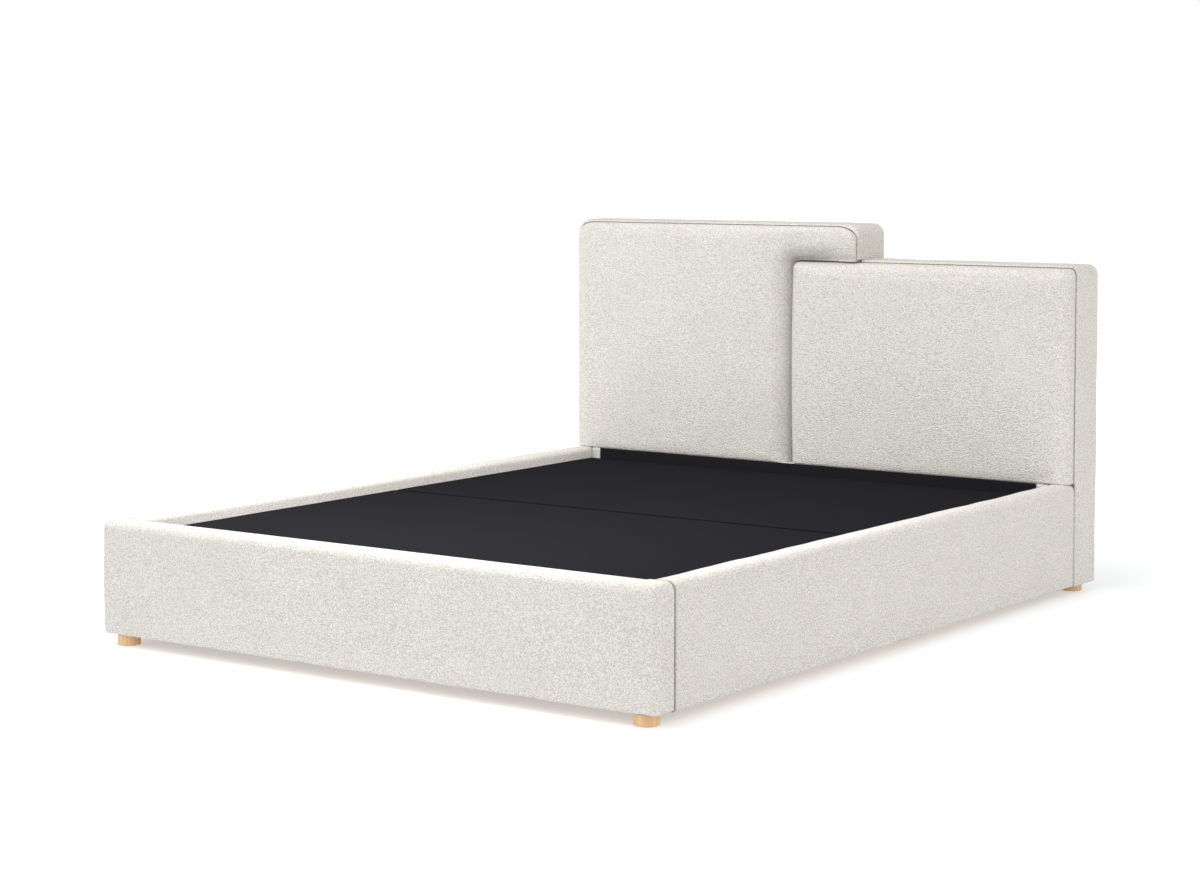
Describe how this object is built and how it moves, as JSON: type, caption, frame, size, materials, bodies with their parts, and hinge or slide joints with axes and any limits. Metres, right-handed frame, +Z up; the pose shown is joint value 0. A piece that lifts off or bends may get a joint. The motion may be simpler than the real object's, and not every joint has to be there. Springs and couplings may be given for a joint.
{
  "type": "upholstered bed",
  "caption": "Upholstered platform bed with an offset two-panel headboard, padded rails, short round wooden feet and a sunken cloth-covered deck in lift-out panels.",
  "frame": {"origin": "on the floor, under the middle of the bed's outer box", "axes": "+Y towards the headboard along the bed, +X towards the side of the lower headboard panel, +Z up"},
  "size_m": [1.76, 2.29, 1.068],
  "materials": {
    "cream_boucle": "looped boucle weave, matt",
    "black_cloth": "non-woven cloth, matt",
    "pine": "planed softwood, unfinished",
    "plywood": "sanded birch plywood",
    "foot_wood": "clear satin lacquer on light hardwood",
    "zinc_steel": "zinc plated",
    "black_plastic": "moulded, matt"
  },
  "bodies": {
    "bed_frame": {"beam_hanger_foot": "zinc_steel", "beam_hanger_head": "zinc_steel", "centre_beam": "pine", "centre_leg_cap_foot": "black_plastic", "centre_leg_cap_head": "black_plastic", "centre_leg_foot": "pine", "centre_leg_head": "pine", "cross_bearer_foot": "pine", "cross_bearer_head": "pine", "cross_bearer_mid": "pine", "foot_ledge": "pine", "foot_rail_board": "pine", "foot_rail_cover": "cream_boucle", "front_left_bracket": "zinc_steel", "front_left_bracket_bolt": "zinc_steel", "front_left_foot": "foot_wood", "front_left_foot_stud": "zinc_steel", "front_right_bracket": "zinc_steel", "front_right_bracket_bolt": "zinc_steel", "front_right_foot": "foot_wood", "front_right_foot_stud": "zinc_steel", "head_apron": "cream_boucle", "head_cross_board": "plywood", "head_ledge": "pine", "head_lining": "black_cloth", "left_ledge": "pine", "left_rail_board": "pine", "left_rail_cover": "cream_boucle", "rear_left_bracket": "zinc_steel", "rear_left_bracket_bolt": "zinc_steel", "rear_left_foot": "foot_wood", "rear_left_foot_stud": "zinc_steel", "rear_right_bracket": "zinc_steel", "rear_right_bracket_bolt": "zinc_steel", "rear_right_foot": "foot_wood", "rear_right_foot_stud": "zinc_steel", "right_ledge": "pine", "right_rail_board": "pine", "right_rail_cover": "cream_boucle", "short_back_cover": "black_cloth", "short_band": "cream_boucle", "short_cushion": "cream_boucle", "short_front_board": "plywood", "short_left_post": "pine", "short_lower_rail": "pine", "short_right_post": "pine", "short_top_rail": "pine", "tall_back_cover": "black_cloth", "tall_band": "cream_boucle", "tall_cushion": "cream_boucle", "tall_front_board": "plywood", "tall_left_post": "pine", "tall_lower_rail": "pine", "tall_right_post": "pine", "tall_top_rail": "pine"},
    "deck_panel_foot": {"deck_board_foot": "plywood", "deck_cloth_foot": "black_cloth"},
    "deck_panel_head": {"deck_board_head": "plywood", "deck_cloth_head": "black_cloth"}
  },
  "joints": [
    {"name": "deck_lift_foot", "type": "slide", "parent": "bed_frame", "child": "deck_panel_foot", "axis": [0, 0, 1], "range_m": [0, 0.25]},
    {"name": "deck_lift_head", "type": "slide", "parent": "bed_frame", "child": "deck_panel_head", "axis": [0, 0, 1], "range_m": [0, 0.25]}
  ]
}
